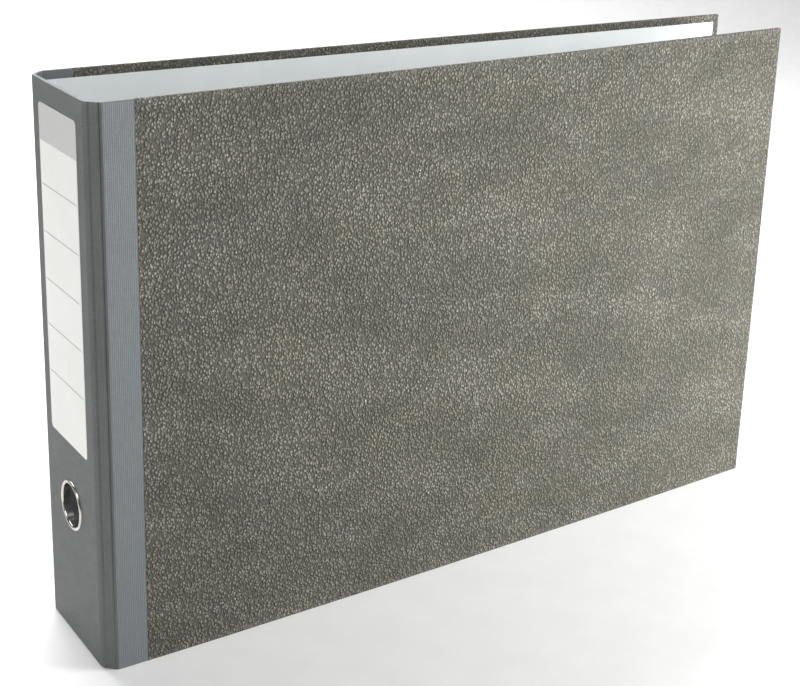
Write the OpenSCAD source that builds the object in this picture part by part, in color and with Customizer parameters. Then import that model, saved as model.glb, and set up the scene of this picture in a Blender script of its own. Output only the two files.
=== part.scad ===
// Lever arch file for A3 landscape sheets: a board case covered in cloth and paper,
// with a nickel-plated lever arch mechanism on the back cover's inner face.
// It stands on its bottom edges: +X runs from the spine to the covers' fore edges,
// the front cover faces -Y, and +Z is up.

/* [Case] */
// Height of the covers and the spine
case_h = 320; // [280:1:360]
// Depth from the spine's outer face to the fore edges
case_d = 488; // [300:1:520]
// Width of the spine over both covers
case_w = 86; // [84:1:110]
// Thickness of the greyboard
board_t = 1.9; // [1.5:0.1:3]
// Thickness of the cloth, the papers and the lining
skin_t = 0.3; // [0.2:0.05:0.4]
// Depth of the crease strip at each spine corner
chamfer = 7; // [6:0.5:10]
// Angle by which each cover leans in towards the other
toe = 1.5; // [0:0.1:1.5]
// Distance from the spine's face to the cloth's edge on a cover
cloth_reach = 25; // [20:1:40]
// Width of the turned-in margin around the lining
turn_in = 5; // [4:0.5:12]

/* [Label and finger ring] */
// Width of the spine label
label_w = 52; // [40:1:56]
// Height of the spine label
label_h = 186; // [120:1:190]
// Height of the label's top edge above the bottom edge
label_top = 307.5; // [300:0.5:310]
// Inside diameter of the finger ring
ring_bore = 25; // [22:0.5:26]
// Outside diameter of the finger ring's flange
ring_flange = 29; // [28.5:0.5:32]
// Height of the finger ring's centre
ring_z = 83.5; // [60:0.5:90]

/* [Mechanism] */
// Distance between the two rings, centre to centre
hole_spacing = 80; // [80:1:80]
// Distance from a fixed post to its hoop's leg
hoop_w = 40; // [38:1:42]
// Diameter of the posts and the arch wire
wire_d = 4; // [3.6:0.1:4]
// Height of the hoops' shoulders above the cover
hoop_shoulder = 49; // [44:1:50]
// Distance from the spine's face to the mechanism's middle
mech_x = 56; // [56:1:70]
// Length of the base plate
plate_l = 160; // [156:1:180]

/* [Hidden] */
$fn = 64;
eps = 0.01;

// Case
wall = board_t + 2 * skin_t;
spine_l = case_w - 2 * chamfer;
strip_l = chamfer * sqrt(2);
cover_l = case_d - chamfer;
crease_gap = 0.5;
mitre = wall * tan(26);
ring_proud = 1.1;
washer_t = 0.6;
label_t = 0.15;
label_corner = 2.5;
case_origin = [-(chamfer + cover_l * cos(toe) - ring_proud) / 2, -case_w / 2, 0];

// Mechanism, in its own frame: x away from the spine, y up, z away from the back cover
wire_r = wire_d / 2;
plate_t = 1;
plate_x0 = -27;
plate_x1 = 29;
post_x = hoop_w / 2;
axle_x = -hoop_w / 2;
axle_z = 4;
ring_y = hole_spacing / 2;
leg_bend = 4;
crank_bend = 3;
lug_t = 2.6;
axle_l = 3;
lug_y = ring_y - leg_bend - axle_l / 2;
crank_y = lug_y - axle_l / 2 - crank_bend;
crank_x = axle_x + 14;
fit = 0.05;
pivot_y = -20;
pivot_z = 17.75;
lever_x = -5;
lever_w = 10;
cheek_t = 1;
lever_pin_r = 2;
roller_r = 4;
roller_arm = 7;
roller_lead = 20;
roller_pin_r = 1.5;
ear_t = 1;
ear_gap = 0.6;
ear_w = 10;
handle_l = 44;
handle_z = 4;
curl_r = 9;
bar_z = 3.5;
bar_t = 1.2;
catch_t = 0.8;
catch_travel = 4;
catch_z = bar_z + bar_t + fit;
guide_ys = [-6, 16];
guide_r = 1.3;
tail_r = 1.5;
rivet_r = 1.8;
rivet_spots = [for (x = [-18, 21], y = [-72, 72]) [x, y]];
leaf_t = 0.6;
leaf_rivet_r = 1;
leaf_rivet_spots = [for (y = [-5, 5]) [axle_x + 1, y]];
rib_ys = [-60, -53, 53, 60];

// The roller hangs from the lever's pin, a little way round towards the handle
roller_place = [0, roller_arm * sin(roller_lead), -roller_arm * cos(roller_lead)];

// ---------- places ----------

module in_case() {
  translate(case_origin) children();
}

// Panel frame on the spine: x from the back corner to the front one, y inwards
module on_spine() {
  in_case() translate([0, case_w - chamfer, 0]) rotate([0, 0, -90]) children();
}

// Panel frame on the front crease strip: x from the spine to the cover, y inwards
module on_front_crease() {
  in_case() translate([0, chamfer, 0]) rotate([0, 0, -45]) children();
}

// Panel frame on the front cover: x from the crease to the fore edge, y inwards
module on_front_cover() {
  in_case() translate([chamfer, 0, 0]) rotate([0, 0, toe]) children();
}

// The back strip and cover mirror the front ones
module to_back() {
  mirror([0, 1, 0]) children();
}

module on_mechanism() {
  in_case()
    translate([chamfer, case_w, 0])
    rotate([0, 0, -toe])
    translate([mech_x - chamfer, -wall, case_h / 2])
    rotate([90, 0, 0]) children();
}

module on_lever() {
  on_mechanism() translate([lever_x, pivot_y, pivot_z]) children();
}

// ---------- case shapes ----------

// A slab of a panel: x, y and z each run from the first value to the second
module slab(x, y, z) {
  translate([x[0], y[0], z[0]]) cube([x[1] - x[0], y[1] - y[0], z[1] - z[0]]);
}

// The outline of a panel from above, with its ends cut back where it meets a crease
module panel_room(len, far_crease) {
  far = far_crease ? len - crease_gap : len;
  cut = far_crease ? mitre : 0;
  translate([0, 0, -1])
    linear_extrude(case_h + 2)
    polygon([[crease_gap, 0], [far, 0], [far - cut, wall], [crease_gap + mitre, wall]]);
}

module board_slab(len, far_crease) {
  far = far_crease ? len : len - skin_t;
  intersection() {
    slab([0, far], [skin_t, skin_t + board_t], [skin_t, case_h - skin_t]);
    panel_room(len, far_crease);
  }
}

// Cloth or paper: the outer face, turned over the edges and on to the inner face
module wrap(len, far_crease, from, to) {
  open_ended = far_crease || to < len;
  board_end = open_ended ? to + 1 : len - skin_t;
  lining_end = open_ended ? to + 1 : len - turn_in;
  intersection() {
    difference() {
      slab([from, to], [0, wall], [0, case_h]);
      slab([from - 1, board_end], [skin_t, skin_t + board_t], [skin_t, case_h - skin_t]);
      slab([from - 1, lining_end], [wall - skin_t - eps, wall + 1], [turn_in, case_h - turn_in]);
    }
    panel_room(len, far_crease);
  }
}

module lining_slab(len, far_crease) {
  far = far_crease ? len : len - turn_in;
  intersection() {
    slab([0, far], [wall - skin_t, wall], [turn_in, case_h - turn_in]);
    panel_room(len, far_crease);
  }
}

// The hole for the finger ring, through the spine
module ring_hole() {
  translate([spine_l / 2, -1, ring_z])
    rotate([-90, 0, 0])
    cylinder(h = wall + 2, r = ring_bore / 2 + 0.5);
}

// ---------- case pieces ----------

module spine_board() {
  color([0.55, 0.5, 0.43]) on_spine() difference() {
    board_slab(spine_l, true);
    ring_hole();
  }
}

module spine_cloth() {
  color([0.46, 0.49, 0.52]) on_spine() difference() {
    wrap(spine_l, true, 0, spine_l);
    ring_hole();
  }
}

module spine_lining() {
  color([0.82, 0.85, 0.88]) on_spine() difference() {
    lining_slab(spine_l, true);
    ring_hole();
  }
}

module spine_label() {
  color([0.93, 0.93, 0.92])
    on_spine()
    translate([(spine_l - label_w) / 2, 0, label_top - label_h])
    rotate([90, 0, 0])
    linear_extrude(label_t) {
      translate([label_corner, 0]) square([label_w - 2 * label_corner, label_h]);
      translate([0, label_corner]) square([label_w, label_h - 2 * label_corner]);
      for (x = [label_corner, label_w - label_corner], y = [label_corner, label_h - label_corner])
        translate([x, y]) circle(r = label_corner);
    }
}

// Rolled flange and barrel, clinched over the washer on the inside
module finger_ring() {
  bore_r = ring_bore / 2;
  flange_r = ring_flange / 2;
  tube_t = 0.5;
  clinch_w = 1.5;
  mid_r = (bore_r + flange_r) / 2;
  half = (flange_r - bore_r) / 2;
  clinch_z = wall + washer_t;
  inner_end = clinch_z + tube_t;
  color([0.78, 0.78, 0.78])
    on_spine()
    translate([spine_l / 2, 0, ring_z])
    rotate([-90, 0, 0])
    rotate_extrude($fn = 96)
    polygon(concat(
      [for (a = [180:12:360]) [mid_r + half * cos(a), ring_proud * sin(a)]],
      [
        [bore_r + tube_t, 0],
        [bore_r + tube_t, clinch_z],
        [bore_r + clinch_w, clinch_z],
        [bore_r + 0.8 * clinch_w, inner_end],
        [bore_r, inner_end]
      ]
    ));
}

module finger_ring_washer() {
  color([0.74, 0.74, 0.74])
    on_spine()
    translate([spine_l / 2, wall, ring_z])
    rotate([-90, 0, 0])
    difference() {
      cylinder(h = washer_t, r = ring_flange / 2 + 1);
      translate([0, 0, -1]) cylinder(h = washer_t + 2, r = ring_bore / 2 + 0.5);
    }
}

module crease_board() {
  color([0.55, 0.5, 0.43]) on_front_crease() board_slab(strip_l, true);
}

module crease_cloth() {
  color([0.42, 0.45, 0.48]) on_front_crease() wrap(strip_l, true, 0, strip_l);
}

module crease_lining() {
  color([0.82, 0.85, 0.88]) on_front_crease() lining_slab(strip_l, true);
}

module cover_board() {
  color([0.55, 0.5, 0.43]) on_front_cover() board_slab(cover_l, false);
}

module cover_cloth() {
  color([0.5, 0.54, 0.58]) on_front_cover() wrap(cover_l, false, 0, cloth_reach - chamfer);
}

module cover_paper() {
  color([0.38, 0.36, 0.33]) on_front_cover() wrap(cover_l, false, cloth_reach - chamfer, cover_l);
}

module cover_lining() {
  color([0.84, 0.87, 0.9]) on_front_cover() lining_slab(cover_l, false);
}

module front_crease_board() {
  crease_board();
}

module front_crease_cloth() {
  crease_cloth();
}

module front_crease_lining() {
  crease_lining();
}

module front_cover_board() {
  cover_board();
}

module front_cover_cloth() {
  cover_cloth();
}

module front_cover_paper() {
  cover_paper();
}

module front_cover_lining() {
  cover_lining();
}

module back_crease_board() {
  to_back() crease_board();
}

module back_crease_cloth() {
  to_back() crease_cloth();
}

module back_crease_lining() {
  to_back() crease_lining();
}

// The four rivets pass through the back cover
module rivet_holes() {
  on_mechanism()
    for (spot = rivet_spots)
      translate([spot[0], spot[1], -wall - 1])
      cylinder(h = wall + plate_t + 2, r = rivet_r);
}

module back_cover_board() {
  color([0.55, 0.5, 0.43]) difference() {
    to_back() cover_board();
    rivet_holes();
  }
}

module back_cover_cloth() {
  to_back() cover_cloth();
}

module back_cover_paper() {
  color([0.38, 0.36, 0.33]) difference() {
    to_back() cover_paper();
    rivet_holes();
  }
}

module back_cover_lining() {
  color([0.84, 0.87, 0.9]) difference() {
    to_back() cover_lining();
    rivet_holes();
  }
}

// ---------- mechanism shapes ----------

// A length of round bar along y, centred on its own middle
module bar_y(len, r) {
  rotate([90, 0, 0]) cylinder(h = len, r = r, center = true);
}

// A length of round bar along x, from x0 to x1
module bar_x(x0, x1, r) {
  translate([x0, 0, 0]) rotate([0, 90, 0]) cylinder(h = x1 - x0, r = r);
}

// A bend in the wire, about z, starting on the x axis
module bend(radius, angle) {
  rotate_extrude(angle = angle) translate([radius, 0]) circle(r = wire_r, $fn = 32);
}

// A low domed head on z = 0
module rivet_head(r, h) {
  rotate_extrude() polygon([[0, 0], [r, 0], [r, h * 0.4], [r * 0.75, h * 0.85], [r * 0.4, h], [0, h]]);
}

// A slot through a plate, from y0 to y1 between its end centres
module slot(x, y0, y1, r, z0, h) {
  for (y = [y0, y1]) translate([x, y, z0]) cylinder(h = h, r = r);
  translate([x - r, y0, z0]) cube([2 * r, y1 - y0, h]);
}

module plate_blank() {
  corner = 7;
  half_l = plate_l / 2;
  translate([plate_x0 + corner, -half_l, 0]) cube([plate_x1 - plate_x0 - 2 * corner, plate_l, plate_t]);
  translate([plate_x0, -half_l + corner, 0]) cube([plate_x1 - plate_x0, plate_l - 2 * corner, plate_t]);
  for (x = [plate_x0 + corner, plate_x1 - corner], y = [-half_l + corner, half_l - corner])
    translate([x, y, 0]) cylinder(h = plate_t, r = corner);
}

// A bearing for the arch wire, pressed up out of the plate
module lug() {
  r = axle_z - 0.4;
  translate([axle_x, 0, axle_z]) bar_y(lug_t, r);
  translate([axle_x - r, -lug_t / 2, plate_t / 2]) cube([2 * r, lug_t, axle_z - plate_t / 2]);
}

// One upright ear for the lever's pin, with a wider foot
module ear(x) {
  foot_w = ear_w + 2;
  foot_h = 8;
  translate([x, pivot_y, pivot_z]) bar_x(0, ear_t, ear_w / 2);
  translate([x, pivot_y - foot_w / 2, plate_t / 2]) cube([ear_t, foot_w, foot_h]);
  translate([x, pivot_y - ear_w / 2, plate_t / 2]) cube([ear_t, ear_w, pivot_z - plate_t / 2]);
}

// A stiffening rib pressed across the plate
module rib(y) {
  r = 1.5;
  x0 = plate_x0 + 8;
  x1 = plate_x1 - 10;
  intersection() {
    translate([0, y, 0.7 * plate_t]) union() {
      bar_x(x0, x1, r);
      translate([x0, 0, 0]) sphere(r = r);
      translate([x1, 0, 0]) sphere(r = r);
    }
    translate([plate_x0, y - 2 * r, plate_t / 2]) cube([plate_x1 - plate_x0, 4 * r, 2 * r]);
  }
}

// ---------- mechanism pieces ----------

module base_plate() {
  ear_xs = [lever_x - lever_w / 2 - ear_gap - ear_t, lever_x + lever_w / 2 + ear_gap];
  color([0.72, 0.72, 0.72]) on_mechanism() difference() {
    union() {
      plate_blank();
      for (s = [-1, 1]) translate([0, s * lug_y, 0]) lug();
      for (x = ear_xs) ear(x);
      for (y = rib_ys) rib(y);
    }
    for (s = [-1, 1]) translate([axle_x, s * lug_y, axle_z]) bar_y(lug_t + 1, wire_r + fit);
    translate([0, pivot_y, pivot_z]) bar_x(ear_xs[0] - 1, ear_xs[1] + ear_t + 1, lever_pin_r);
    for (s = [-1, 1]) translate([post_x, s * ring_y, -1]) cylinder(h = plate_t + 2, r = tail_r);
    for (spot = rivet_spots) translate([spot[0], spot[1], -1]) cylinder(h = plate_t + 2, r = rivet_r);
    for (spot = leaf_rivet_spots)
      translate([spot[0], spot[1], -1]) cylinder(h = plate_t + 2, r = leaf_rivet_r);
  }
}

module mounting_rivets() {
  head_r = 4;
  inner_h = 0.9;
  outer_h = 0.7;
  overlap = 0.2;
  color([0.78, 0.78, 0.78]) on_mechanism()
    for (spot = rivet_spots) translate([spot[0], spot[1], 0]) {
      translate([0, 0, -wall - overlap]) cylinder(h = wall + plate_t + 2 * overlap, r = rivet_r);
      translate([0, 0, plate_t]) rivet_head(head_r, inner_h);
      translate([0, 0, -wall]) mirror([0, 0, 1]) rivet_head(head_r, outer_h);
    }
}

// A fixed post: riveted tail, collar, shank and a blunt point
module post() {
  collar_r = 3.8;
  top = hoop_shoulder - 0.3;
  cylinder(h = plate_t + 1, r = tail_r);
  translate([0, 0, plate_t]) cylinder(h = bar_z - plate_t, r = collar_r);
  translate([0, 0, plate_t]) cylinder(h = top - plate_t, r = wire_r);
  translate([0, 0, top]) cylinder(h = 0.8, r1 = 1.5, r2 = 0.1);
}

module post_lower() {
  color([0.8, 0.8, 0.8]) on_mechanism() translate([post_x, -ring_y, 0]) post();
}

module post_upper() {
  color([0.8, 0.8, 0.8]) on_mechanism() translate([post_x, ring_y, 0]) post();
}

// A flat steel tongue, riveted by the arch's axle, that pushes the crank up
module leaf_spring() {
  root = axle_x - 2;
  root_l = 5;
  root_w = 18;
  tip = crank_x + 3;
  tip_w = 14;
  color([0.5, 0.52, 0.56]) on_mechanism() difference() {
    union() {
      translate([root, -root_w / 2, plate_t]) cube([root_l, root_w, leaf_t]);
      translate([root, -tip_w / 2, plate_t]) cube([tip - root, tip_w, leaf_t]);
    }
    for (spot = leaf_rivet_spots) translate([spot[0], spot[1], 0]) cylinder(h = 3, r = leaf_rivet_r);
  }
}

module spring_rivets() {
  head_r = 1.9;
  head_z = plate_t + leaf_t;
  color([0.78, 0.78, 0.78]) on_mechanism()
    for (spot = leaf_rivet_spots) translate([spot[0], spot[1], 0]) {
      cylinder(h = head_z + 0.2, r = leaf_rivet_r);
      translate([0, 0, head_z]) rivet_head(head_r, 0.6);
    }
}

// Half of the arch wire: hoop, leg, axle stub and half of the crank
module arch_half() {
  translate([0, ring_y, hoop_shoulder]) rotate([90, 0, 0]) bend(hoop_w / 2, 180);
  translate([axle_x, ring_y, axle_z + leg_bend])
    cylinder(h = hoop_shoulder - axle_z - leg_bend, r = wire_r, $fn = 32);
  translate([axle_x, ring_y - leg_bend, axle_z + leg_bend]) rotate([-90, 0, 90]) bend(leg_bend, 90);
  translate([axle_x, lug_y, axle_z])
    rotate([90, 0, 0])
    cylinder(h = axle_l, r = wire_r, center = true, $fn = 32);
  translate([axle_x + crank_bend, crank_y + crank_bend, axle_z]) rotate([0, 0, 180]) bend(crank_bend, 90);
  translate([axle_x + crank_bend, crank_y, axle_z])
    rotate([0, 90, 0])
    cylinder(h = crank_x - axle_x - 2 * crank_bend, r = wire_r, $fn = 32);
  translate([crank_x - crank_bend, crank_y - crank_bend, axle_z]) bend(crank_bend, 90);
}

module arch_wire() {
  crank_l = 2 * (crank_y - crank_bend);
  color([0.8, 0.8, 0.8]) on_mechanism() difference() {
    union() {
      arch_half();
      mirror([0, 1, 0]) arch_half();
      translate([crank_x, 0, axle_z])
        rotate([90, 0, 0])
        cylinder(h = crank_l, r = wire_r, center = true, $fn = 32);
    }
    // a socket in each hoop's end for the post's point
    for (s = [-1, 1])
      translate([post_x, s * ring_y, hoop_shoulder - eps]) cylinder(h = 0.9, r1 = 1.6, r2 = 0.2);
  }
}

// One cheek of the lever, in the y-z plane
module cheek(x) {
  translate([x, 0, 0]) rotate([90, 0, 90]) linear_extrude(cheek_t) hull() {
    circle(r = 4.6, $fn = 32);
    translate([roller_place[1], roller_place[2]]) circle(r = 3.3, $fn = 32);
    translate([handle_l * 0.72, 2.9]) circle(r = 1.1, $fn = 32);
  }
}

// The finger tab at the handle's end: the plate's strip rolled up about its own x axis
module finger_tab() {
  rotate([0, -90, 0])
    rotate([0, 0, 180])
    rotate_extrude(angle = -55)
    translate([curl_r, 0]) square([cheek_t, lever_w]);
}

// Two cheeks joined by the handle's plate, pressed from one sheet
module lever() {
  half_w = lever_w / 2;
  plate_back = 2.5;
  color([0.76, 0.76, 0.76]) on_lever() difference() {
    union() {
      cheek(-half_w);
      cheek(half_w - cheek_t);
      translate([-half_w, -plate_back, handle_z - cheek_t]) cube([lever_w, handle_l + plate_back, cheek_t]);
      translate([half_w, handle_l, handle_z + curl_r]) finger_tab();
    }
    bar_x(-half_w - 1, half_w + 1, lever_pin_r + fit);
    translate(roller_place) bar_x(-half_w - 1, half_w + 1, roller_pin_r);
  }
}

module lever_pin() {
  ear_face = lever_w / 2 + ear_gap + ear_t;
  head_h = 0.6;
  color([0.7, 0.7, 0.7]) on_lever() {
    bar_x(-ear_face - head_h / 2, ear_face + head_h / 2, lever_pin_r);
    for (s = [0, 1]) mirror([s, 0, 0]) bar_x(ear_face, ear_face + head_h, lever_pin_r + 0.9);
  }
}

module lever_roller() {
  half_l = lever_w / 2 - cheek_t - 0.2;
  color([0.6, 0.6, 0.62]) on_lever() translate(roller_place) difference() {
    bar_x(-half_l, half_l, roller_r);
    bar_x(-half_l - 1, half_l + 1, roller_pin_r + fit);
  }
}

module roller_pin() {
  color([0.7, 0.7, 0.7]) on_lever() translate(roller_place) bar_x(-lever_w / 2, lever_w / 2, roller_pin_r);
}

module compressor_bar() {
  half_l = ring_y + 12;
  half_w = 7;
  lip_t = 1;
  lip_h = 4;
  color([0.74, 0.74, 0.74]) on_mechanism() difference() {
    union() {
      translate([post_x - half_w, -half_l + half_w, bar_z]) cube([2 * half_w, 2 * (half_l - half_w), bar_t]);
      for (s = [-1, 1]) translate([post_x, s * (half_l - half_w), bar_z]) cylinder(h = bar_t, r = half_w);
      // folded edge that keeps the bar stiff
      translate([post_x + half_w - lip_t, -ring_y, bar_z]) cube([lip_t, hole_spacing, lip_h]);
    }
    for (s = [-1, 1]) translate([post_x, s * ring_y, bar_z - 1]) cylinder(h = bar_t + 2, r = wire_r + 0.5);
    for (y = guide_ys) translate([post_x, y, bar_z - 1]) cylinder(h = bar_t + 2, r = guide_r);
  }
}

// A strip on the bar whose keyhole grips the upper post when it is slid along
module compressor_catch() {
  half_w = 4;
  y0 = -12;
  y1 = ring_y + 6;
  tab_y = 4;
  tab_t = 1.2;
  tab_h = 7;
  color([0.25, 0.25, 0.26]) on_mechanism() difference() {
    union() {
      translate([post_x - half_w, y0, catch_z]) cube([2 * half_w, y1 - y0, catch_t]);
      translate([post_x - half_w, tab_y, catch_z]) cube([2 * half_w, tab_t, tab_h]);
    }
    translate([post_x, ring_y, catch_z - 1]) cylinder(h = 4, r = wire_r + 0.9);
    slot(post_x, ring_y - catch_travel, ring_y, wire_r + 0.3, catch_z - 1, 4);
    for (y = guide_ys) slot(post_x, y - catch_travel, y, guide_r + 0.3, catch_z - 1, 4);
  }
}

module catch_rivets() {
  head_z = catch_z + catch_t + 0.1;
  color([0.78, 0.78, 0.78]) on_mechanism()
    for (y = guide_ys) translate([post_x, y, 0]) {
      translate([0, 0, bar_z]) cylinder(h = head_z - bar_z + 0.2, r = guide_r);
      translate([0, 0, head_z]) rivet_head(2.4, 0.7);
    }
}

spine_board();
spine_cloth();
spine_lining();
spine_label();
finger_ring();
finger_ring_washer();
front_crease_board();
front_crease_cloth();
front_crease_lining();
front_cover_board();
front_cover_cloth();
front_cover_paper();
front_cover_lining();
back_crease_board();
back_crease_cloth();
back_crease_lining();
back_cover_board();
back_cover_cloth();
back_cover_paper();
back_cover_lining();
base_plate();
mounting_rivets();
post_lower();
post_upper();
leaf_spring();
spring_rivets();
arch_wire();
lever();
lever_pin();
lever_roller();
roller_pin();
compressor_bar();
compressor_catch();
catch_rivets();
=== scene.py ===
"""A lever arch file: its looks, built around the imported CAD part.

Everything is in metres in the row frame: +X runs from the spine to the covers' fore edges, the front cover
faces -Y and +Z is up. The case is described in millimetres in its own frame, whose origin is the corner
where the front cover's outer face meets the spine's, as in the CAD source.
"""

import math

import bmesh
import bpy
import numpy as np
from mathutils import Matrix, Vector


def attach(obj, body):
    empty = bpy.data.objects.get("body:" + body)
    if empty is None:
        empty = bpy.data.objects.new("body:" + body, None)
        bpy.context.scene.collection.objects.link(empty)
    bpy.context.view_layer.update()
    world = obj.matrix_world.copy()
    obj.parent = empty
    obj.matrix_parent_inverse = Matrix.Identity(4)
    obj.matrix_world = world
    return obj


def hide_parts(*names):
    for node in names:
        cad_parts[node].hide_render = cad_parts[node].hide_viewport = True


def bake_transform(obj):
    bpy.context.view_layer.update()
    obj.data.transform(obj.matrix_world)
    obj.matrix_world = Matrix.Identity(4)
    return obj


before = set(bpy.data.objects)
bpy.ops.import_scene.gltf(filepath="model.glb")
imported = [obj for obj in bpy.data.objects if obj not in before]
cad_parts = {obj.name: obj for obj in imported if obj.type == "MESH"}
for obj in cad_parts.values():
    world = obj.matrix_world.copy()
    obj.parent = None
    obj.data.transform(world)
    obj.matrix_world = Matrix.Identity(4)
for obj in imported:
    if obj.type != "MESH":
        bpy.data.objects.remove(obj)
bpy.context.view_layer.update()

MM = 0.001

# The case, as in the CAD source
CASE_H = 320.0
CASE_W = 86.0
CASE_D = 488.0
CHAMFER = 7.0
TOE = math.radians(1.5)
WALL = 2.5
TURN_IN = 5.0
COVER_L = CASE_D - CHAMFER
STRIP_L = CHAMFER * math.sqrt(2)
PAPER_FROM = 25.0 - CHAMFER
RING_PROUD = 1.1
RING_HOLE_R = 13.0
RING_Z = 83.5
ORIGIN = (-(CHAMFER + COVER_L * math.cos(TOE) - RING_PROUD) / 2, -CASE_W / 2)

# How far the visual skins lie from the CAD faces
CLOTH_SUNK = 0.05
PAPER_PROUD = 0.12
LINING_PROUD = 0.05
PAPER_LAP = 3.0
EDGE_R = 0.85
BOW = 2.4

# The spine is split here, away from the ring and the label
SPLIT_Y = 74.0

# The label
LABEL_W = 52.0
LABEL_H = 186.0
LABEL_TOP = 307.5
LABEL_CORNER = 2.5
HEADER_H = 20.3
RULE_HEIGHTS = (263.3, 236.8, 209.9, 183.6, 156.5)

# The mechanism's frame: x away from the spine, y up, z away from the back cover
MECH_X = 56.0
MECH_Z = CASE_H / 2


# ---------- places ----------


def row(x, y, z, back=False):
    """A point of the case, in millimetres, as a point of the row frame."""
    y = CASE_W - y if back else y
    return Vector(((x + ORIGIN[0]) * MM, (y + ORIGIN[1]) * MM, z * MM))


def on_mechanism(x, y, z):
    """A point of the mechanism's frame as a point of the row frame."""
    along, inwards = MECH_X - CHAMFER + x, WALL + z
    px = CHAMFER + along * math.cos(TOE) - inwards * math.sin(TOE)
    py = along * math.sin(TOE) + inwards * math.cos(TOE)
    return row(px, py, MECH_Z + y, back=True)


DIR_SPINE = np.array((0.0, -1.0))
DIR_STRIP = np.array((1.0, -1.0)) / math.sqrt(2)
DIR_COVER = np.array((math.cos(TOE), math.sin(TOE)))
SPINE_CORNER = np.array((0.0, CHAMFER))
COVER_CORNER = np.array((CHAMFER, 0.0))


def inward(direction):
    return np.array((-direction[1], direction[0]))


def smooth(x):
    x = min(max(x, 0.0), 1.0)
    return x * x * (3 - 2 * x)


def softened(t, corner, before, after, reach):
    """A point at length t from a corner, on a path whose corner is rounded over reach on each side."""
    if abs(t) >= reach:
        return corner + (before if t < 0 else after) * t
    k = (t + reach) / (2 * reach)
    first, last = corner - before * reach, corner + after * reach
    return first * (1 - k) ** 2 + corner * 2 * k * (1 - k) + last * k**2


CREASE_ZONE = 3.0
INNER_ROUNDING = 0.4


def around_corner(corner, before, after, lengths, rounding):
    """Stations along the wall on both sides of a crease.

    Each is (outer point, inner point, length from the crease)."""
    half = math.acos(float(before @ after)) / 2
    lost = WALL * math.tan(half)
    middle = (inward(before) + inward(after)) / 2
    middle /= np.linalg.norm(middle)
    inner_corner = corner + middle * WALL / math.cos(half)
    stations = []
    for t in lengths:
        outer = softened(t, corner, before, after, rounding)
        squeezed = abs(t) - lost if abs(t) > CREASE_ZONE else abs(t) * (CREASE_ZONE - lost) / CREASE_ZONE
        inner = softened(math.copysign(squeezed, t), inner_corner, before, after, INNER_ROUNDING)
        stations.append((outer, inner, t))
    return stations


FINE_REACH = 4.4
FINE_COUNT = 45


def crease_lengths(far_before, far_after, coarse):
    """Lengths from a crease, close together near it."""
    fine = list(np.linspace(-FINE_REACH, FINE_REACH, FINE_COUNT))
    count_before = max(1, round((far_before - FINE_REACH) / coarse))
    count_after = max(1, round((far_after - FINE_REACH) / coarse))
    before = list(np.linspace(-far_before, -FINE_REACH, count_before + 1))[:-1]
    after = list(np.linspace(FINE_REACH, far_after, count_after + 1))[1:]
    return before + fine + after


FLAT_TO = 95


def waves(s, z):
    """The boards' own slight waviness, in millimetres."""
    return (
        0.10 * math.sin(s / 61.0 + 0.7 + z / 140.0)
        + 0.07 * math.sin(z / 47.0 + 1.9 - s / 150.0)
        + 0.04 * math.sin(s / 27.0 - z / 33.0)
    )


def cover_offset(u, z, back):
    """How far a cover's board stands out from its flat place, in millimetres, outwards.

    The back one is flat as far as the mechanism reaches."""
    if back:
        return waves(u + 40, z) * smooth((u - FLAT_TO) / 60)
    out = BOW * math.sin(math.pi * min(max(u / COVER_L, 0), 1))
    return out + waves(u, z) * smooth(u / 60)


# ---------- slabs ----------


END_ANGLES = (0, 15, 30, 45, 60, 75)
TURN_ANGLES = (18, 36, 54, 72, 90)
RIM_REACH = 1.2
END_RIM_FALL = 3


def loop_of(z_low, z_high, d_low, d_high, radius, step):
    """One section across a slab, as a list of (depth, height, distance round it, nearness to an edge), the
    number of points up a face, and the number over an end. It starts at the foot of the outer face and goes
    up it, over the top, down the inner face and under the foot."""
    count = max(2, round((z_high - z_low) / step))
    heights = np.linspace(z_low + radius, z_high - radius, count + 1)
    turn = [math.radians(a) for a in TURN_ANGLES]
    top = [(d_low + radius * (1 - math.cos(a)), z_high - radius * (1 - math.sin(a))) for a in turn]
    over = [(d_high - (d - d_low), z) for d, z in reversed(top)]
    flat_top = [] if d_high - d_low <= 2 * radius + 1e-6 else over[:1]
    over = flat_top + over[1:]
    upper = top + over
    lower = [(d, z_low + z_high - z) for d, z in reversed(upper)]
    points = [(d_low, z) for z in heights] + upper + [(d_high, z) for z in reversed(heights)] + lower
    made, run = [], 0.0
    for i, (d, z) in enumerate(points):
        if i:
            run += math.hypot(d - points[i - 1][0], z - points[i - 1][1])
        rim = math.exp(-min(z - z_low, z_high - z) / RIM_REACH)
        made.append((d, z, run, rim))
    return made, count + 1, len(upper)


def rounded_end(stations, radius):
    """The stations with the last one replaced by a rounded edge, and how far each is drawn in at its rim."""
    last = stations[-1]
    kept = list(stations[:-1])
    insets = [0.0] * len(kept)
    for degrees in END_ANGLES:
        angle = math.radians(degrees)
        back_by = radius * (1 - math.sin(angle))
        outer, inner = last[0] - DIR_COVER * back_by, last[1] - DIR_COVER * back_by
        kept.append((outer, inner, last[2] - back_by))
        insets.append(radius * (1 - math.cos(angle)))
    return kept, insets


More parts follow.
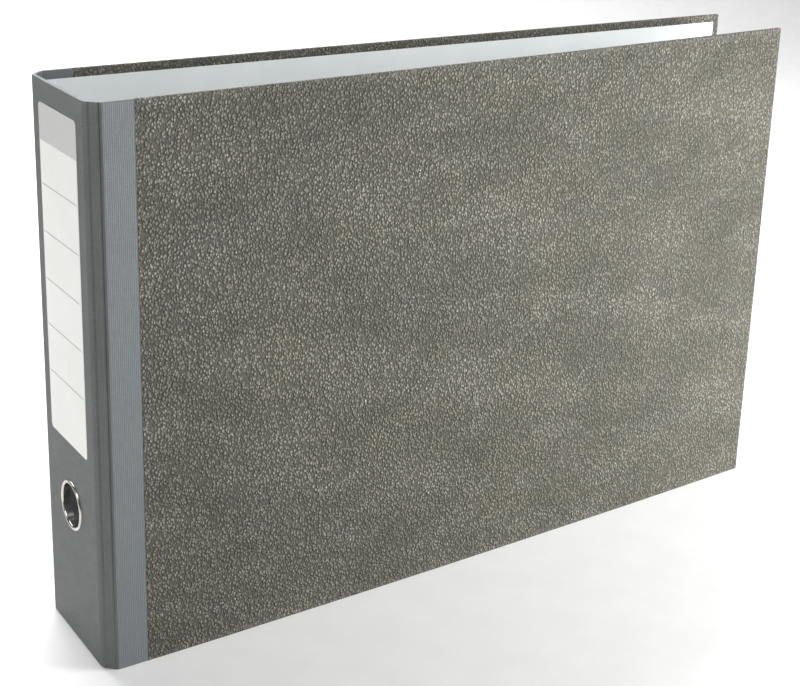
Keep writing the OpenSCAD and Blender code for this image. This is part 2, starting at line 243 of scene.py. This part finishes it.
def slab(
    name, stations, z_range, depths, radius, step, s0, back=False, offset=None, press=None, end_round=False
):
    """A closed slab along the wall. offset(s, z) moves it outwards and press(s, z) presses its outer face in,
    both in millimetres. With end_round the last stations close in a rounded edge."""
    loop, n_side, n_over = loop_of(*z_range, *depths, radius, step)
    size = len(loop)
    middle_d, half_d = sum(depths) / 2, (depths[1] - depths[0]) / 2
    middle_z, half_z = sum(z_range) / 2, (z_range[1] - z_range[0]) / 2
    insets = [0.0] * len(stations)
    if end_round:
        stations, insets = rounded_end(stations, radius)
    vertices, uvs, rims = [], [], []
    for (outer, inner, t), inset in zip(stations, insets):
        across = (inner - outer) / WALL
        out_dir = -across / np.linalg.norm(across)
        for d, z, run, rim in loop:
            dd = middle_d + (d - middle_d) * (half_d - inset) / half_d
            zz = middle_z + (z - middle_z) * (half_z - inset) / half_z
            at = outer + across * dd
            share = 1 - min(max(dd / WALL, 0), 1)
            if press:
                at = at - out_dir * press(t, zz) * share
            if offset:
                at = at + out_dir * offset(t, zz)
            vertices.append(row(at[0], at[1], zz, back))
            uvs.append(((s0 + t) * MM, (z_range[0] + run) * MM))
            rims.append(max(rim, math.exp(-(radius - inset) * END_RIM_FALL) if inset else 0.0))
    faces = []
    for i in range(len(stations) - 1):
        for j in range(size):
            k = (j + 1) % size
            faces.append((i * size + j, (i + 1) * size + j, (i + 1) * size + k, i * size + k))
    for base, flip in ((0, False), ((len(stations) - 1) * size, True)):
        first_in = n_side + n_over
        cap = [
            (base + j, base + j + 1, base + first_in + n_side - 2 - j, base + first_in + n_side - 1 - j)
            for j in range(n_side - 1)
        ]
        cap.append(tuple(base + j for j in range(n_side - 1, first_in + 1)))
        cap.append(tuple(base + j % size for j in range(first_in + n_side - 1, size + 1)))
        faces += [tuple(reversed(f)) for f in cap] if flip else cap
    if back:
        faces = [tuple(reversed(f)) for f in faces]
    return mesh_object(name, vertices, faces, uvs, rims)


SHARP = math.radians(40)


def mesh_object(name, vertices, faces, uvs=None, rims=None):
    """A linked mesh object; uvs and rims hold one value for each vertex."""
    mesh = bpy.data.meshes.new(name)
    mesh.from_pydata([tuple(v) for v in vertices], [], faces)
    if uvs:
        layer = mesh.uv_layers.new(name="panel")
        index = np.zeros(len(mesh.loops), np.int32)
        mesh.loops.foreach_get("vertex_index", index)
        layer.data.foreach_set("uv", np.array(uvs, np.float32)[index].ravel())
    if rims:
        mesh.attributes.new("rim", "FLOAT", "POINT").data.foreach_set("value", np.array(rims, np.float32))
    mesh.validate()
    tidy = bmesh.new()
    tidy.from_mesh(mesh)
    bmesh.ops.recalc_face_normals(tidy, faces=tidy.faces)
    tidy.to_mesh(mesh)
    tidy.free()
    mesh.shade_smooth()
    mesh.set_sharp_from_angle(angle=SHARP)
    piece = bpy.data.objects.new(name, mesh)
    bpy.context.scene.collection.objects.link(piece)
    return piece


ROD_SIDES = 96


def cut(piece, tool):
    """Cuts tool out of piece and removes tool."""
    modifier = piece.modifiers.new("cut", "BOOLEAN")
    modifier.operation, modifier.solver, modifier.object = "DIFFERENCE", "EXACT", tool
    bpy.context.view_layer.update()
    graph = bpy.context.evaluated_depsgraph_get()
    mesh = bpy.data.meshes.new_from_object(piece.evaluated_get(graph))
    piece.modifiers.clear()
    piece.data = mesh
    mesh.set_sharp_from_angle(angle=SHARP)
    bpy.data.objects.remove(tool)


def rod(name, centre, direction, radius, length):
    """A round rod, used as a cutting tool."""
    made = bmesh.new()
    bmesh.ops.create_cone(
        made, cap_ends=True, segments=ROD_SIDES, radius1=radius, radius2=radius, depth=length
    )
    turn = Vector((0, 0, 1)).rotation_difference(Vector(direction)).to_matrix().to_4x4()
    bmesh.ops.transform(made, matrix=Matrix.Translation(centre) @ turn, verts=made.verts)
    mesh = bpy.data.meshes.new(name)
    made.to_mesh(mesh)
    made.free()
    piece = bpy.data.objects.new(name, mesh)
    bpy.context.scene.collection.objects.link(piece)
    return piece


def ring_hole():
    return rod("ring_hole", row(WALL / 2, CASE_W / 2, RING_Z), (1, 0, 0), RING_HOLE_R * MM, 20 * MM)


# ---------- materials ----------


# The Mix node's colour sockets have the same names as its number sockets, so they are taken by their places
MIX_SHARE = 0
MIX_A = 6
MIX_B = 7
MIX_RESULT = 2


class Shader:
    """A node material, built one node at a time."""

    def __init__(self, name):
        self.material = bpy.data.materials.new(name)
        self.material.use_nodes = True
        self.tree = self.material.node_tree
        self.tree.nodes.clear()

    def add(self, kind, inputs=None, **settings):
        made = self.tree.nodes.new("ShaderNode" + kind)
        for key, value in settings.items():
            setattr(made, key, value)
        for key, value in (inputs or {}).items():
            socket = made.inputs[key]
            if isinstance(value, bpy.types.NodeSocket):
                self.tree.links.new(value, socket)
            else:
                socket.default_value = value
        return made

    def uv(self, rotate=0.0, scale=(1, 1, 1)):
        start = self.add("UVMap", uv_map="panel").outputs[0]
        return self.mapped(start, rotate, scale)

    def place(self, rotate=0.0, scale=(1, 1, 1)):
        start = self.add("TexCoord").outputs["Object"]
        return self.mapped(start, rotate, scale)

    def mapped(self, start, rotate, scale):
        inputs = {"Vector": start, "Rotation": (0, 0, math.radians(rotate)), "Scale": scale}
        return self.add("Mapping", inputs).outputs[0]

    def noise(self, vector, scale, detail=3.0, rough=0.5, distortion=0.0):
        inputs = {"Vector": vector, "Scale": scale, "Detail": detail}
        inputs |= {"Roughness": rough, "Distortion": distortion}
        return self.add("TexNoise", inputs).outputs["Fac"]

    def cells(self, vector, scale, soft):
        inputs = {"Vector": vector, "Scale": scale, "Smoothness": soft, "Randomness": PEBBLE_SPREAD}
        return self.add("TexVoronoi", inputs, feature="SMOOTH_F1").outputs["Distance"]

    def bands(self, vector, scale, direction, distortion):
        inputs = {"Vector": vector, "Scale": scale, "Distortion": distortion}
        inputs |= {"Detail": 2.0, "Detail Scale": 0.6}
        made = self.add("TexWave", inputs, wave_type="BANDS", bands_direction=direction)
        return made.outputs["Fac"]

    def math(self, operation, a, b=0.0):
        made = self.add("Math", operation=operation)
        for i, value in enumerate((a, b)):
            if isinstance(value, bpy.types.NodeSocket):
                self.tree.links.new(value, made.inputs[i])
            else:
                made.inputs[i].default_value = value
        return made.outputs[0]

    def remap(self, value, low, high, to_low=0.0, to_high=1.0):
        inputs = {"Value": value, "From Min": low, "From Max": high, "To Min": to_low, "To Max": to_high}
        return self.add("MapRange", inputs).outputs[0]

    def mix(self, share, a, b):
        made = self.add("Mix", data_type="RGBA")
        for key, value in ((MIX_SHARE, share), (MIX_A, a), (MIX_B, b)):
            if isinstance(value, bpy.types.NodeSocket):
                self.tree.links.new(value, made.inputs[key])
            else:
                made.inputs[key].default_value = value
        return made.outputs[MIX_RESULT]

    def bump(self, height, strength, distance):
        inputs = {"Height": height, "Strength": strength, "Distance": distance}
        return self.add("Bump", inputs).outputs[0]

    def finish(self, **inputs):
        shader = self.add("BsdfPrincipled", {k.replace("_", " "): v for k, v in inputs.items()})
        self.add("OutputMaterial", {"Surface": shader.outputs[0]})
        return self.material


def tone(red, green, blue):
    """A colour given in 0-255 display values, as the shader's linear colour. All are above 10."""
    return tuple(((c / 255 + 0.055) / 1.055) ** 2.4 for c in (red, green, blue)) + (1.0,)


# The paper's pebbles: cells to a metre, and how unevenly they are spread
PEBBLES = 600.0
PEBBLE_SPREAD = 0.85


def marbled_paper():
    """Leather-grained paper, clouded in olive and warm grey, with pale flecks."""
    s = Shader("marbled_paper")
    flat = s.uv()
    wander = s.add("TexNoise", {"Vector": flat, "Scale": 260.0, "Detail": 2.0}).outputs["Color"]
    warp = s.add("VectorMath", {0: wander, 1: (-0.5, -0.5, -0.5)}, operation="ADD").outputs[0]
    warp = s.add("VectorMath", {0: warp, "Scale": 0.0016}, operation="SCALE").outputs[0]
    warped = s.add("VectorMath", {0: s.uv(28, (1.0, 0.78, 1.0)), 1: warp}, operation="ADD").outputs[0]
    edges = {"Vector": warped, "Scale": PEBBLES, "Randomness": PEBBLE_SPREAD}
    gap = s.add("TexVoronoi", edges, feature="DISTANCE_TO_EDGE").outputs["Distance"]
    plateau = s.add("MapRange", {"Value": gap, "From Max": 0.3}, interpolation_type="SMOOTHSTEP").outputs[0]
    dome = s.remap(s.cells(warped, PEBBLES, 0.3), 0.0, 0.62, 1.0, 0.0)
    fine = s.noise(s.uv(-20, (1.0, 0.7, 1.0)), 1500, 2, 0.6)
    lumps = s.noise(flat, 210, 2, 0.5)
    height = s.math("ADD", s.math("MULTIPLY", plateau, 0.3), s.math("MULTIPLY", dome, 0.7))
    height = s.math("MULTIPLY", height, s.remap(lumps, 0.25, 0.7, 0.6, 1.15))
    height = s.math("ADD", height, s.math("MULTIPLY", fine, 0.14))
    clouds = s.noise(s.uv(0, (0.6, 1.0, 1.0)), 20, 5, 0.62, 0.5)
    patches = s.noise(s.uv(31), 48, 4, 0.6, 0.8)
    drift = s.noise(s.uv(4, (0.45, 1.0, 1.0)), 34, 5, 0.7, 0.4)
    speck = s.noise(flat, 620, 3, 0.75)
    base = s.mix(s.remap(clouds, 0.36, 0.66), tone(104, 102, 87), tone(134, 130, 114))
    base = s.mix(s.remap(patches, 0.5, 0.72, 0.0, 0.3), base, tone(114, 106, 103))
    base = s.mix(s.remap(patches, 0.5, 0.3, 0.0, 0.3), base, tone(102, 105, 90))
    gathered = s.math("MULTIPLY", s.remap(drift, 0.47, 0.60), s.remap(speck, 0.48, 0.60))
    base = s.mix(s.math("MULTIPLY", gathered, 0.75), base, tone(172, 170, 162))
    # The gaps between the pebbles are mixed towards a dark tone: partly darker pigment in the grain, partly
    # painted shade in the hollows.
    base = s.mix(s.remap(dome, 0.12, 0.58, 0.78, 0.0), base, tone(46, 45, 39))
    # Paler near the edges, in patches: partly rubbed wear, partly a painted edge highlight.
    rim = s.add("Attribute", attribute_name="rim").outputs["Fac"]
    edge_highlight_and_wear = s.math("MULTIPLY", rim, s.remap(patches, 0.35, 0.6, 0.15, 0.5))
    base = s.mix(edge_highlight_and_wear, base, tone(138, 136, 128))
    rough = s.remap(plateau, 0.0, 1.0, 0.75, 0.45)
    normal = s.bump(height, 1.0, 0.0019)
    return s.finish(Base_Color=base, Roughness=rough, Normal=normal, Specular_IOR_Level=0.5)


def linen_cloth(name, rib_first):
    """Coated book cloth: threads both ways, with slubs along them. It is a little bluer past the crease."""
    s = Shader(name)
    flat = s.uv()
    across = s.bands(flat, 300, "Y", 2.2)
    along = s.bands(flat, 290, "X", 2.2)
    slub_rows = s.noise(s.uv(0, (0.1, 1.0, 1.0)), 1100, 3, 0.7)
    slub_columns = s.noise(s.uv(0, (1.0, 0.1, 1.0)), 1100, 3, 0.7)
    rows = s.math("MULTIPLY", across, s.remap(slub_rows, 0.3, 0.7, 0.2, 1.0))
    columns = s.math("MULTIPLY", along, s.remap(slub_columns, 0.3, 0.7, 0.2, 1.0))
    weights = (1.0, 0.35) if rib_first else (0.6, 0.9)
    height = s.math("ADD", s.math("MULTIPLY", rows, weights[0]), s.math("MULTIPLY", columns, weights[1]))
    clouds = s.noise(flat, 30, 4, 0.6, 0.4)
    base = s.mix(s.remap(clouds, 0.35, 0.65), tone(103, 106, 104), tone(111, 114, 112))
    past_crease = s.remap(s.add("SeparateXYZ", {0: flat}).outputs[0], 9.2 * MM, 10.4 * MM)
    base = s.mix(s.math("MULTIPLY", past_crease, 0.8), base, tone(104, 110, 113))
    # Low places between the threads are mixed towards a dark tone: painted shade in the weave's hollows.
    base = s.mix(s.remap(height, 0.0, 0.8, 0.45, 0.0), base, tone(60, 64, 66))
    # Paler near the edges, in patches: partly rubbed wear, partly a painted edge highlight.
    rim = s.add("Attribute", attribute_name="rim").outputs["Fac"]
    base = s.mix(s.math("MULTIPLY", rim, s.remap(clouds, 0.35, 0.6, 0.1, 0.35)), base, tone(132, 136, 138))
    rough = s.remap(height, 0.1, 1.1, 0.68, 0.42)
    normal = s.bump(height, 0.8, 0.00016)
    return s.finish(Base_Color=base, Roughness=rough, Normal=normal, Specular_IOR_Level=0.5)


def smooth_paper(name, light, dark, rough_low, rough_high):
    """Smooth uncoated paper with faint fibres."""
    s = Shader(name)
    place = s.place()
    clouds = s.noise(place, 22, 4, 0.6)
    fibres = s.noise(s.place(35, (1.0, 1.0, 0.25)), 1900, 3, 0.65)
    base = s.mix(s.remap(clouds, 0.35, 0.65), light, dark)
    base = s.mix(s.remap(fibres, 0.5, 0.75, 0.0, 0.12), base, dark)
    rough = s.remap(fibres, 0.35, 0.7, rough_low, rough_high)
    normal = s.bump(fibres, 0.15, 0.00006)
    return s.finish(Base_Color=base, Roughness=rough, Normal=normal, Specular_IOR_Level=0.4)


def plated_steel(name, colour, dark, rough_low, rough_high):
    """Plated steel wire and strip: faint drawing marks and small uneven spots in the plating."""
    s = Shader(name)
    marks = s.noise(s.place(0, (1.0, 0.08, 1.0)), 2400, 3, 0.7)
    spots = s.noise(s.place(), 160, 4, 0.65)
    base = s.mix(s.remap(spots, 0.4, 0.75), colour, dark)
    edge_highlight_and_wear = s.remap(spots, 0.5, 0.8, 0.0, 0.12)
    rough = s.math("ADD", s.remap(marks, 0.3, 0.7, rough_low, rough_high), edge_highlight_and_wear)
    normal = s.bump(marks, 0.12, 0.00003)
    return s.finish(Base_Color=base, Metallic=1.0, Roughness=rough, Normal=normal)


def moulded_plastic():
    """Dull black moulded plastic."""
    s = Shader("black_plastic")
    grain = s.noise(s.place(), 2600, 3, 0.6)
    clouds = s.noise(s.place(), 90, 3, 0.5)
    base = s.mix(s.remap(clouds, 0.35, 0.65), tone(38, 38, 40), tone(50, 50, 52))
    rough = s.remap(grain, 0.3, 0.7, 0.38, 0.56)
    return s.finish(Base_Color=base, Roughness=rough, Normal=s.bump(grain, 0.2, 0.00005))


def printed_ink(name, light, dark):
    """Flat printing, very slightly screened."""
    s = Shader(name)
    screen = s.noise(s.place(), 1800, 2, 0.6)
    base = s.mix(s.remap(screen, 0.35, 0.65), light, dark)
    return s.finish(Base_Color=base, Roughness=s.remap(screen, 0.3, 0.7, 0.5, 0.62))


def greyboard():
    """Raw board, for the solids inside the case."""
    s = Shader("greyboard")
    fibres = s.noise(s.place(), 900, 4, 0.7)
    base = s.mix(s.remap(fibres, 0.35, 0.65), tone(150, 142, 128), tone(176, 168, 152))
    return s.finish(Base_Color=base, Roughness=0.9, Normal=s.bump(fibres, 0.3, 0.0001))


PAPER = marbled_paper()
CLOTH = linen_cloth("linen_cloth", False)
SPINE_CLOTH = linen_cloth("linen_cloth_spine", True)
LINING = smooth_paper("lining_paper", tone(224, 227, 227), tone(218, 222, 222), 0.55, 0.68)
LABEL = smooth_paper("label_paper", tone(246, 246, 243), tone(241, 241, 237), 0.4, 0.5)
HEADER = printed_ink("label_header", tone(206, 207, 205), tone(199, 200, 198))
INK = printed_ink("label_ink", tone(120, 120, 122), tone(98, 98, 101))
NICKEL = plated_steel("nickel_plate", tone(214, 211, 205), tone(190, 186, 179), 0.16, 0.3)
STRIP_NICKEL = plated_steel("nickel_strip", tone(206, 204, 199), tone(184, 181, 175), 0.24, 0.4)
BLUED = plated_steel("spring_steel", tone(120, 124, 132), tone(92, 96, 108), 0.28, 0.42)
PLASTIC = moulded_plastic()
BOARD = greyboard()


def dress(piece, material):
    piece.data.materials.clear()
    piece.data.materials.append(material)
    return piece


# ---------- the case ----------


def groove(t, centre, half_width):
    """A groove's profile, 1 at its centre."""
    return math.exp(-(((t - centre) / half_width) ** 2))


def cover_press(t, z):
    """The groove pressed into the strip just before the cover, softer towards the foot."""
    ripple = 0.12 * math.sin(z / 9.0) + 0.08 * math.sin(z / 3.7 + 1.3)
    depth = (0.35 + 0.45 * smooth((z - 10) / 90)) * (1 + 0.2 * ripple)
    return depth * groove(t, -1.0, 0.62)


def spine_press(t, z):
    """The line pressed into the strip a little after the spine's rounded corner."""
    ripple = 0.15 * math.sin(z / 11.0 + 0.6) + 0.1 * math.sin(z / 4.3)
    depth = (0.25 + 0.25 * smooth((z - 10) / 90)) * (1 + 0.2 * ripple)
    return depth * groove(t, 3.1, 0.55)


def bend(piece):
    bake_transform(piece)


FULL = (0.0, CASE_H)
LINED = (TURN_IN, CASE_H - TURN_IN)
CLOTH_DEPTHS = (CLOTH_SUNK, WALL - CLOTH_SUNK)
PAPER_DEPTHS = (-PAPER_PROUD, WALL - 0.02)
LINING_DEPTHS = (WALL - 0.25, WALL + LINING_PROUD)
LINING_R = 0.13
CLOTH_STEP = 4.0
LINING_STEP = 5.0
HALF_STRIP = STRIP_L / 2


SPINE_ROUNDING = 2.4
COVER_ROUNDING = 1.1
COARSE = 3.0
LINING_COARSE = 4.0


def spine_part(name, far, depths, z_range, radius, step, back, press):
    """A sheet from the spine over its corner to the middle of the strip."""
    lengths = crease_lengths(far, HALF_STRIP, COARSE)
    stations = around_corner(SPINE_CORNER, DIR_SPINE, DIR_STRIP, lengths, SPINE_ROUNDING)
    return slab(name, stations, z_range, depths, radius, step, 0.0, back, press=press)


def cover_part(name, far, depths, z_range, radius, step, back, press, coarse=COARSE):
    """A sheet from the middle of the strip over the crease and along the cover."""
    lengths = crease_lengths(HALF_STRIP, far, coarse)
    stations = around_corner(COVER_CORNER, DIR_STRIP, DIR_COVER, lengths, COVER_ROUNDING)
    return slab(
        name, stations, z_range, depths, radius, step, STRIP_L, back, offset=cover_shape(back), press=press
    )


def cover_shape(back):
    """The slab offset of a cover; the strip stays flat."""
    return lambda u, z: cover_offset(u, z, back) if u > 0 else 0.0


PAPER_STATIONS = 150
PAPER_STEP = 3.5


def cover_paper(name, back):
    """A cover's board in its marbled paper, with the fore edge rounded."""
    stations = []
    for u in np.linspace(PAPER_FROM, COVER_L, PAPER_STATIONS):
        outer = COVER_CORNER + DIR_COVER * u
        stations.append((outer, outer + inward(DIR_COVER) * WALL, u))
    shape = cover_shape(back)
    return slab(
        name, stations, FULL, PAPER_DEPTHS, EDGE_R, PAPER_STEP, STRIP_L, back, offset=shape, end_round=True
    )


NEAR_FAR = SPLIT_Y - CHAMFER
BACK_FAR = CASE_W - SPLIT_Y - CHAMFER

CLOTH_SHEET = (CLOTH_DEPTHS, FULL, EDGE_R, CLOTH_STEP)
LINING_SHEET = (LINING_DEPTHS, LINED, LINING_R, LINING_STEP)

cloth_spine = spine_part("cloth_spine", NEAR_FAR, *CLOTH_SHEET, False, spine_press)
cut(cloth_spine, ring_hole())
cloth_back_fold = spine_part("cloth_back_fold", BACK_FAR, *CLOTH_SHEET, True, spine_press)
lining_spine = spine_part("lining_spine", NEAR_FAR, *LINING_SHEET, False, None)
cut(lining_spine, ring_hole())
lining_back_fold = spine_part("lining_back_fold", BACK_FAR, *LINING_SHEET, True, None)
for piece, side, back in (
    (cloth_spine, "front", False),
    (lining_spine, "front", False),
    (cloth_back_fold, "back", True),
    (lining_back_fold, "back", True),
):
    bend(piece)

for side, back in (("front", False), ("back", True)):
    crease, cover = side + "_crease", side + "_cover"
    cloth_end = PAPER_FROM + PAPER_LAP
    cloth = cover_part("cloth_" + side, cloth_end, *CLOTH_SHEET, back, cover_press)
    lining_end = COVER_L - TURN_IN
    lining = cover_part("lining_" + side, lining_end, *LINING_SHEET, back, None, coarse=LINING_COARSE)
    paper = cover_paper("paper_" + side, back)
    for piece in (cloth, lining):
        bend(piece)
    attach(paper, cover)
    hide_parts(crease + "_cloth", crease + "_board", cover + "_cloth")
    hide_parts(crease + "_lining", cover + "_lining")
    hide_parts(cover + "_paper", cover + "_board")
    for piece, material, slot in (
        (cloth, CLOTH, "linen_cloth"),
        (lining, LINING, "lining_paper"),
        (paper, PAPER, "marbled_paper"),
    ):
        dress(piece, material)

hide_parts("spine_cloth", "spine_board")
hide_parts("spine_lining")
for piece in (cloth_spine, cloth_back_fold):
    dress(piece, SPINE_CLOTH)
for piece in (lining_spine, lining_back_fold):
    dress(piece, LINING)


# ---------- the label ----------


def sheet_on_spine(name, outline, depth_from, depth_to, bevel=0.0):
    """A thin closed sheet on the spine's face; outline is in millimetres, (y across the spine, z up)."""
    made = bmesh.new()
    corners = [made.verts.new(row(-depth_from, y, z)) for y, z in outline]
    bottom = made.faces.new(corners)
    raised = bmesh.ops.extrude_face_region(made, geom=[bottom])["geom"]
    verts = [g for g in raised if isinstance(g, bmesh.types.BMVert)]
    bmesh.ops.translate(made, vec=(-(depth_to - depth_from) * MM, 0, 0), verts=verts)
    if bevel:
        top = next(g for g in raised if isinstance(g, bmesh.types.BMFace))
        edges = list(top.edges)
        bmesh.ops.bevel(made, geom=edges, offset=bevel * MM, segments=3, affect="EDGES", profile=0.5)
    bmesh.ops.recalc_face_normals(made, faces=made.faces)
    mesh = bpy.data.meshes.new(name)
    made.to_mesh(mesh)
    made.free()
    mesh.shade_smooth()
    mesh.set_sharp_from_angle(angle=math.radians(50))
    piece = bpy.data.objects.new(name, mesh)
    bpy.context.scene.collection.objects.link(piece)
    return piece


def rounded(y0, y1, z0, z1, radii):
    """A rectangle's outline; radii are of its corners (y1,z1), (y0,z1), (y0,z0), (y1,z0)."""
    points = []
    corners = ((y1, z1, -1, -1, 0), (y0, z1, 1, -1, 90), (y0, z0, 1, 1, 180), (y1, z0, -1, 1, 270))
    for (y, z, sy, sz, first), r in zip(corners, radii):
        if r == 0:
            points.append((y, z))
            continue
        for a in range(0, 91, 15):
            angle = math.radians(first + a)
            points.append((y + sy * r + r * math.cos(angle), z + sz * r + r * math.sin(angle)))
    return points


LABEL_Y0 = (CASE_W - LABEL_W) / 2
LABEL_Y1 = LABEL_Y0 + LABEL_W
LABEL_FACE = 0.22
LABEL_BEVEL = 0.08
LABEL_SUNK = 0.05
INK_T = 0.02
INK_SUNK = 0.01
HEADER_MARGIN = 0.12
RULE_INSET = 1.8
RULE_GAP = 1.2
RULE_HALF = 0.17
DOT_R = 0.3

label = sheet_on_spine(
    "label",
    rounded(LABEL_Y0, LABEL_Y1, LABEL_TOP - LABEL_H, LABEL_TOP, (LABEL_CORNER,) * 4),
    -CLOTH_SUNK - LABEL_SUNK,
    LABEL_FACE,
    LABEL_BEVEL,
)
header = sheet_on_spine(
    "label_header",
    rounded(
        LABEL_Y0 + HEADER_MARGIN,
        LABEL_Y1 - HEADER_MARGIN,
        LABEL_TOP - HEADER_H,
        LABEL_TOP - HEADER_MARGIN,
        (LABEL_CORNER - HEADER_MARGIN, LABEL_CORNER - HEADER_MARGIN, 0, 0),
    ),
    LABEL_FACE - INK_SUNK,
    LABEL_FACE + INK_T,
)


def label_rules():
    """The writing lines, each with a small dot near its ends."""
    parts = []
    ink = (LABEL_FACE - INK_SUNK, LABEL_FACE + INK_T)
    for i, z in enumerate(RULE_HEIGHTS):
        y0, y1 = LABEL_Y0 + RULE_INSET + RULE_GAP, LABEL_Y1 - RULE_INSET - RULE_GAP
        outline = rounded(y0, y1, z - RULE_HALF, z + RULE_HALF, (0, 0, 0, 0))
        parts.append(sheet_on_spine(f"rule_{i}", outline, *ink))
        for y in (LABEL_Y0 + RULE_INSET, LABEL_Y1 - RULE_INSET):
            dot = rounded(y - DOT_R, y + DOT_R, z - DOT_R, z + DOT_R, (DOT_R,) * 4)
            parts.append(sheet_on_spine(f"dot_{i}_{y:.0f}", dot, *ink))
    joined = bmesh.new()
    for part in parts:
        joined.from_mesh(part.data)
        bpy.data.objects.remove(part)
    mesh = bpy.data.meshes.new("label_rules")
    joined.to_mesh(mesh)
    joined.free()
    piece = bpy.data.objects.new("label_rules", mesh)
    bpy.context.scene.collection.objects.link(piece)
    return piece


rules = label_rules()
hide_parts("spine_label")
for piece, material in ((label, LABEL), (header, HEADER), (rules, INK)):
    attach(piece, "spine")
    dress(piece, material)


# ---------- the mechanism ----------


def leaf_spring():
    """The steel tongue under the crank: a flat strip with a wider root and a rounded tip."""
    half_root, half_tip, root, neck, tip = 9.0, 7.0, -22.0, -17.0, -3.0
    low, high, edge = 1.0, 1.6, 0.12
    columns = [root, root + 1, neck - 0.6, neck + 0.6] + list(np.arange(neck + 1.4, tip, 0.8)) + [tip]
    rings = []
    for x in columns:
        share = smooth((x - neck + 0.6) / 1.2)
        half = half_root + (half_tip - half_root) * share
        if x > tip - 2.5:
            half -= 2.5 - math.sqrt(max(0.0, 2.5**2 - (x - tip + 2.5) ** 2))
        rows = np.linspace(-half, half, 13)
        ring = [(y, high) for y in rows] + [(half + edge * 0.4, (low + high) / 2)]
        ring += [(y, low) for y in reversed(rows)] + [(-half - edge * 0.4, (low + high) / 2)]
        rings.append([on_mechanism(x, y, z) for y, z in ring])
    size = len(rings[0])
    vertices = [v for ring in rings for v in ring]
    faces = [
        (i * size + j, i * size + (j + 1) % size, (i + 1) * size + (j + 1) % size, (i + 1) * size + j)
        for i in range(len(rings) - 1)
        for j in range(size)
    ]
    last = (len(rings) - 1) * size
    faces += [tuple(reversed(range(size))), tuple(range(last, last + size))]
    return mesh_object("leaf_spring_strip", vertices, faces)


spring = leaf_spring()
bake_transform(spring)
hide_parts("leaf_spring")
dress(spring, BLUED)

NODE_MATERIALS = {
    "finger_ring": NICKEL,
    "finger_ring_washer": STRIP_NICKEL,
    "base_plate": STRIP_NICKEL,
    "mounting_rivets": NICKEL,
    "post_lower": NICKEL,
    "post_upper": NICKEL,
    "spring_rivets": NICKEL,
    "arch_wire": NICKEL,
    "lever": STRIP_NICKEL,
    "lever_pin": NICKEL,
    "lever_roller": STRIP_NICKEL,
    "roller_pin": NICKEL,
    "compressor_bar": STRIP_NICKEL,
    "compressor_catch": PLASTIC,
    "catch_rivets": NICKEL,
}
for name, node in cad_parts.items():
    dress(node, NODE_MATERIALS.get(name, BOARD))
    if name in NODE_MATERIALS:
        node.data.shade_smooth()
        node.data.set_sharp_from_angle(angle=math.radians(32))


# ---------- floor, light and camera ----------


def floor():
    """A pale floor that curves up into a wall behind the file."""
    size, rise, radius, wall_at = 6.0, 3.0, 1.2, 1.6
    profile = [(-size, 0.0), (wall_at, 0.0)]
    for a in np.radians(np.arange(10, 91, 10)):
        profile.append((wall_at + radius * math.sin(a), radius * (1 - math.cos(a))))
    profile.append((wall_at + radius, rise))
    vertices, faces = [], []
    turn = math.radians(-33)
    for x in (-size, size):
        for y, z in profile:
            turned_x = x * math.cos(turn) - y * math.sin(turn)
            turned_y = x * math.sin(turn) + y * math.cos(turn)
            vertices.append((turned_x, turned_y, z))
    n = len(profile)
    for i in range(n - 1):
        faces.append((i, n + i, n + i + 1, i + 1))
    piece = mesh_object("floor", vertices, faces)
    s = Shader("studio_floor")
    grain = s.noise(s.place(), 40, 3, 0.5)
    base = s.mix(s.remap(grain, 0.3, 0.7), (0.90, 0.90, 0.90, 1), (0.93, 0.93, 0.93, 1))
    dress(piece, s.finish(Base_Color=base, Roughness=0.75))


floor()


def softbox(name, place, aim, size, power):
    """A square area lamp of the given side, in metres, and power, in watts."""
    light = bpy.data.lights.new(name, "AREA")
    light.shape, light.size, light.energy = "SQUARE", size, power
    lamp = bpy.data.objects.new(name, light)
    lamp.location = place
    lamp.visible_camera = False
    lamp.rotation_euler = (Vector(aim) - Vector(place)).to_track_quat("-Z", "Y").to_euler()
    bpy.context.scene.collection.objects.link(lamp)


softbox("key", (0.56, -0.62, 0.16), (0.1, 0, 0.14), 0.2, 7.8)
softbox("side", (1.0, -0.65, 0.55), (0.1, 0, 0.14), 0.4, 12)
softbox("left", (-1.4, -0.5, 1.3), (-0.24, 0, 0.2), 0.6, 13)
softbox("top", (0.1, 1.3, 1.5), (0, 0.2, 0), 1.4, 56)

world = bpy.data.worlds.new("studio")
world.use_nodes = True
sky = world.node_tree.nodes["Background"]
sky.inputs["Color"].default_value = (1, 1, 1, 1)
sky.inputs["Strength"].default_value = 0.06
bpy.context.scene.world = world
bpy.context.scene.view_settings.view_transform = "Standard"

CAMERA_AT = Vector((-0.5143, -0.7372, 0.4909))
CAMERA_TURN = math.radians(-33.233)
CAMERA_TILT = math.radians(17.543)
CAMERA_ROLL = math.radians(1.682)
LENS = 69.12
SHIFT_Y = -0.141

camera_data = bpy.data.cameras.new("camera")
camera_data.sensor_width = 36
camera_data.lens = LENS
camera_data.shift_y = SHIFT_Y
camera = bpy.data.objects.new("camera", camera_data)
camera.matrix_world = (
    Matrix.Translation(CAMERA_AT)
    @ Matrix.Rotation(CAMERA_TURN, 4, "Z")
    @ Matrix.Rotation(math.pi / 2 - CAMERA_TILT, 4, "X")
    @ Matrix.Rotation(CAMERA_ROLL, 4, "Z")
)
bpy.context.scene.collection.objects.link(camera)
bpy.context.scene.camera = camera
